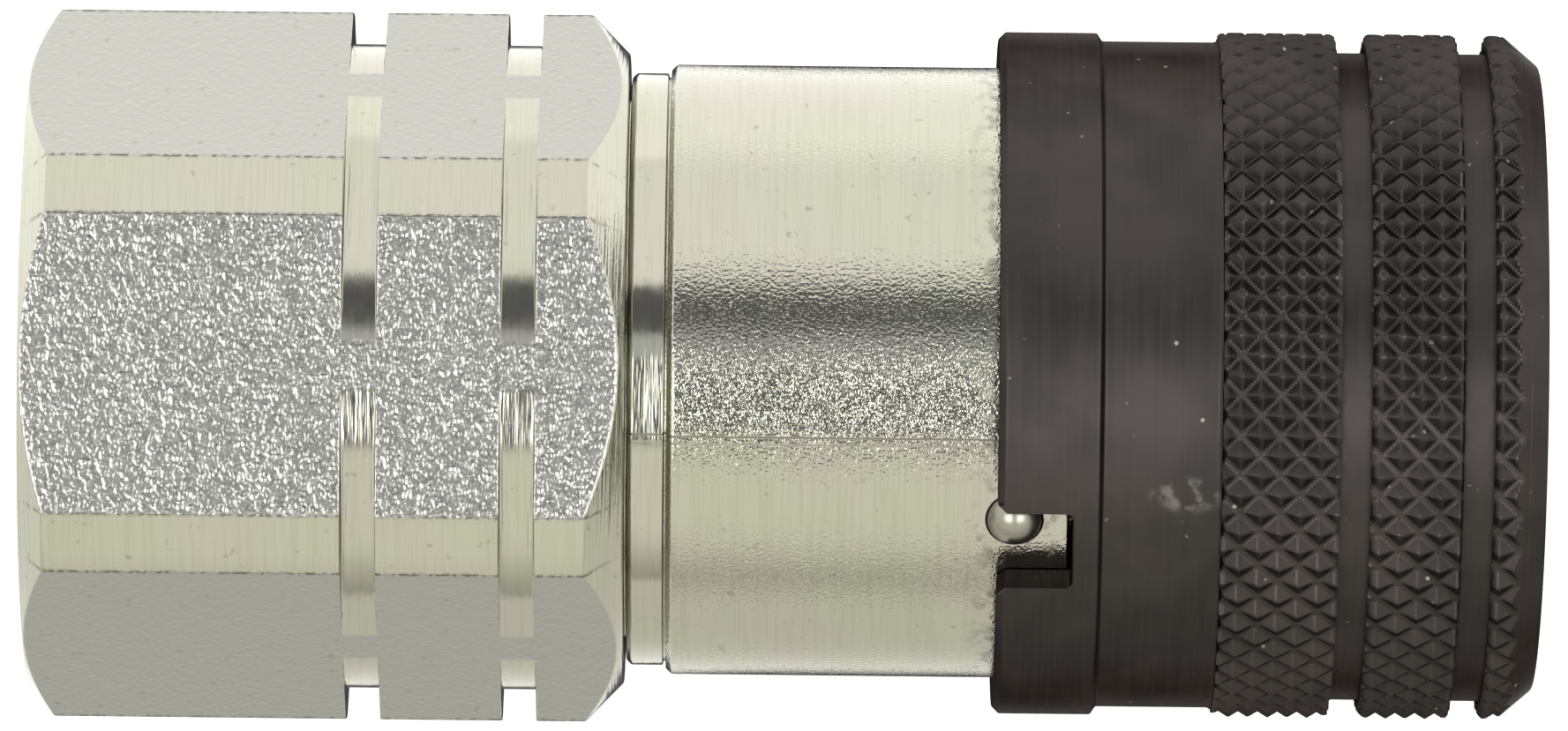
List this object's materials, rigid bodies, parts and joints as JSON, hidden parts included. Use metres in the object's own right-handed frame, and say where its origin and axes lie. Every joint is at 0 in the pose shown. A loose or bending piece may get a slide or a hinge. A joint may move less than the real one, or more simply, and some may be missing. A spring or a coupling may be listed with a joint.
{
  "type": "quick disconnect coupler",
  "caption": "Flush-face hydraulic quick disconnect coupler, socket half: hex port behind, plated body, knurled locking sleeve, ball lock, sliding valve.",
  "frame": {"origin": "centre of the flat coupling face, on the coupler's axis, where the fixed stem's end is flush with the valve sleeve and the shuttle", "axes": "+X along the coupler's axis, out of the coupling face and away from the port; +Z out of one wrench flat (up when the coupler lies on the opposite flat); +Y completes a right-handed frame, through a corner of the hex"},
  "size_m": [0.105, 0.0494, 0.048],
  "materials": {
    "plated_steel": "zinc-plated, satin, fine turning lines, sparkling etched wrench flats",
    "phosphated_steel": "black-brown phosphated steel, satin",
    "turned_steel": "turned, satin",
    "bearing_steel": "polished bearing balls",
    "spring_steel": "dark oiled spring wire",
    "seal_rubber": "smooth nitrile",
    "backup_plastic": "white PTFE"
  },
  "bodies": {
    "coupler_body": {"rear_adapter": "plated_steel", "front_body": "plated_steel", "valve_stem": "turned_steel", "stem_spider": "turned_steel", "stem_nut": "plated_steel", "sleeve_snap_ring": "spring_steel", "lock_ball": "bearing_steel", "sleeve_spring": "spring_steel", "shuttle_spring": "spring_steel", "valve_spring": "spring_steel", "spigot_o_ring": "seal_rubber", "valve_guide_o_ring": "seal_rubber", "nose_o_ring": "seal_rubber", "stem_o_ring": "seal_rubber", "valve_guide_backup_ring": "backup_plastic", "nose_backup_ring": "backup_plastic"},
    "shuttle": {"face_shuttle": "plated_steel"},
    "valve": {"valve_sleeve": "plated_steel", "valve_collar_ring": "turned_steel"},
    "sleeve_carrier": {"spring_washer": "turned_steel"},
    "sleeve": {"locking_sleeve": "phosphated_steel"},
    "ball_01": {"locking_ball_01": "bearing_steel"},
    "ball_02": {"locking_ball_02": "bearing_steel"},
    "ball_03": {"locking_ball_03": "bearing_steel"},
    "ball_04": {"locking_ball_04": "bearing_steel"},
    "ball_05": {"locking_ball_05": "bearing_steel"},
    "ball_06": {"locking_ball_06": "bearing_steel"},
    "ball_07": {"locking_ball_07": "bearing_steel"},
    "ball_08": {"locking_ball_08": "bearing_steel"},
    "ball_09": {"locking_ball_09": "bearing_steel"},
    "ball_10": {"locking_ball_10": "bearing_steel"},
    "ball_11": {"locking_ball_11": "bearing_steel"},
    "ball_12": {"locking_ball_12": "bearing_steel"}
  },
  "joints": [
    {"name": "shuttle_slide", "type": "slide", "parent": "coupler_body", "child": "shuttle", "axis": [-1, 0, 0], "range_m": [0, 0.019], "stiffness_N_per_m": 1200, "springref_m": -0.02, "deforming": ["shuttle_spring"]},
    {"name": "valve_slide", "type": "slide", "parent": "coupler_body", "child": "valve", "axis": [-1, 0, 0], "range_m": [0, 0.019], "stiffness_N_per_m": 1400, "springref_m": -0.02, "deforming": ["valve_spring"]},
    {"name": "sleeve_advance", "type": "slide", "parent": "coupler_body", "child": "sleeve_carrier", "axis": [1, 0, 0], "range_m": [0, 0.004], "deforming": ["sleeve_spring"]},
    {"name": "sleeve_turn", "type": "hinge", "parent": "sleeve_carrier", "child": "sleeve", "pos_m": [0, 0, 0], "axis": [1, 0, 0], "range_deg": [-5.7, 0]},
    {"name": "ball_01_drop", "type": "slide", "parent": "coupler_body", "child": "ball_01", "axis": [0, -1, 0], "range_m": [0, 0.0016]},
    {"name": "ball_02_drop", "type": "slide", "parent": "coupler_body", "child": "ball_02", "axis": [0, -0.866, -0.5], "range_m": [0, 0.0016]},
    {"name": "ball_03_drop", "type": "slide", "parent": "coupler_body", "child": "ball_03", "axis": [0, -0.5, -0.866], "range_m": [0, 0.0016]},
    {"name": "ball_04_drop", "type": "slide", "parent": "coupler_body", "child": "ball_04", "axis": [0, 0, -1], "range_m": [0, 0.0016]},
    {"name": "ball_05_drop", "type": "slide", "parent": "coupler_body", "child": "ball_05", "axis": [0, 0.5, -0.866], "range_m": [0, 0.0016]},
    {"name": "ball_06_drop", "type": "slide", "parent": "coupler_body", "child": "ball_06", "axis": [0, 0.866, -0.5], "range_m": [0, 0.0016]},
    {"name": "ball_07_drop", "type": "slide", "parent": "coupler_body", "child": "ball_07", "axis": [0, 1, 0], "range_m": [0, 0.0016]},
    {"name": "ball_08_drop", "type": "slide", "parent": "coupler_body", "child": "ball_08", "axis": [0, 0.866, 0.5], "range_m": [0, 0.0016]},
    {"name": "ball_09_drop", "type": "slide", "parent": "coupler_body", "child": "ball_09", "axis": [0, 0.5, 0.866], "range_m": [0, 0.0016]},
    {"name": "ball_10_drop", "type": "slide", "parent": "coupler_body", "child": "ball_10", "axis": [0, 0, 1], "range_m": [0, 0.0016]},
    {"name": "ball_11_drop", "type": "slide", "parent": "coupler_body", "child": "ball_11", "axis": [0, -0.5, 0.866], "range_m": [0, 0.0016]},
    {"name": "ball_12_drop", "type": "slide", "parent": "coupler_body", "child": "ball_12", "axis": [0, -0.866, 0.5], "range_m": [0, 0.0016]}
  ],
  "couplings": [
    {"joint": "valve_slide", "follows": "shuttle_slide", "ratio": 1},
    {"joint": "sleeve_advance", "follows": "shuttle_slide", "ratio": 0.21053},
    {"joint": "ball_01_drop", "follows": "shuttle_slide", "ratio": 0.08421},
    {"joint": "ball_02_drop", "follows": "shuttle_slide", "ratio": 0.08421},
    {"joint": "ball_03_drop", "follows": "shuttle_slide", "ratio": 0.08421},
    {"joint": "ball_04_drop", "follows": "shuttle_slide", "ratio": 0.08421},
    {"joint": "ball_05_drop", "follows": "shuttle_slide", "ratio": 0.08421},
    {"joint": "ball_06_drop", "follows": "shuttle_slide", "ratio": 0.08421},
    {"joint": "ball_07_drop", "follows": "shuttle_slide", "ratio": 0.08421},
    {"joint": "ball_08_drop", "follows": "shuttle_slide", "ratio": 0.08421},
    {"joint": "ball_09_drop", "follows": "shuttle_slide", "ratio": 0.08421},
    {"joint": "ball_10_drop", "follows": "shuttle_slide", "ratio": 0.08421},
    {"joint": "ball_11_drop", "follows": "shuttle_slide", "ratio": 0.08421},
    {"joint": "ball_12_drop", "follows": "shuttle_slide", "ratio": 0.08421}
  ]
}
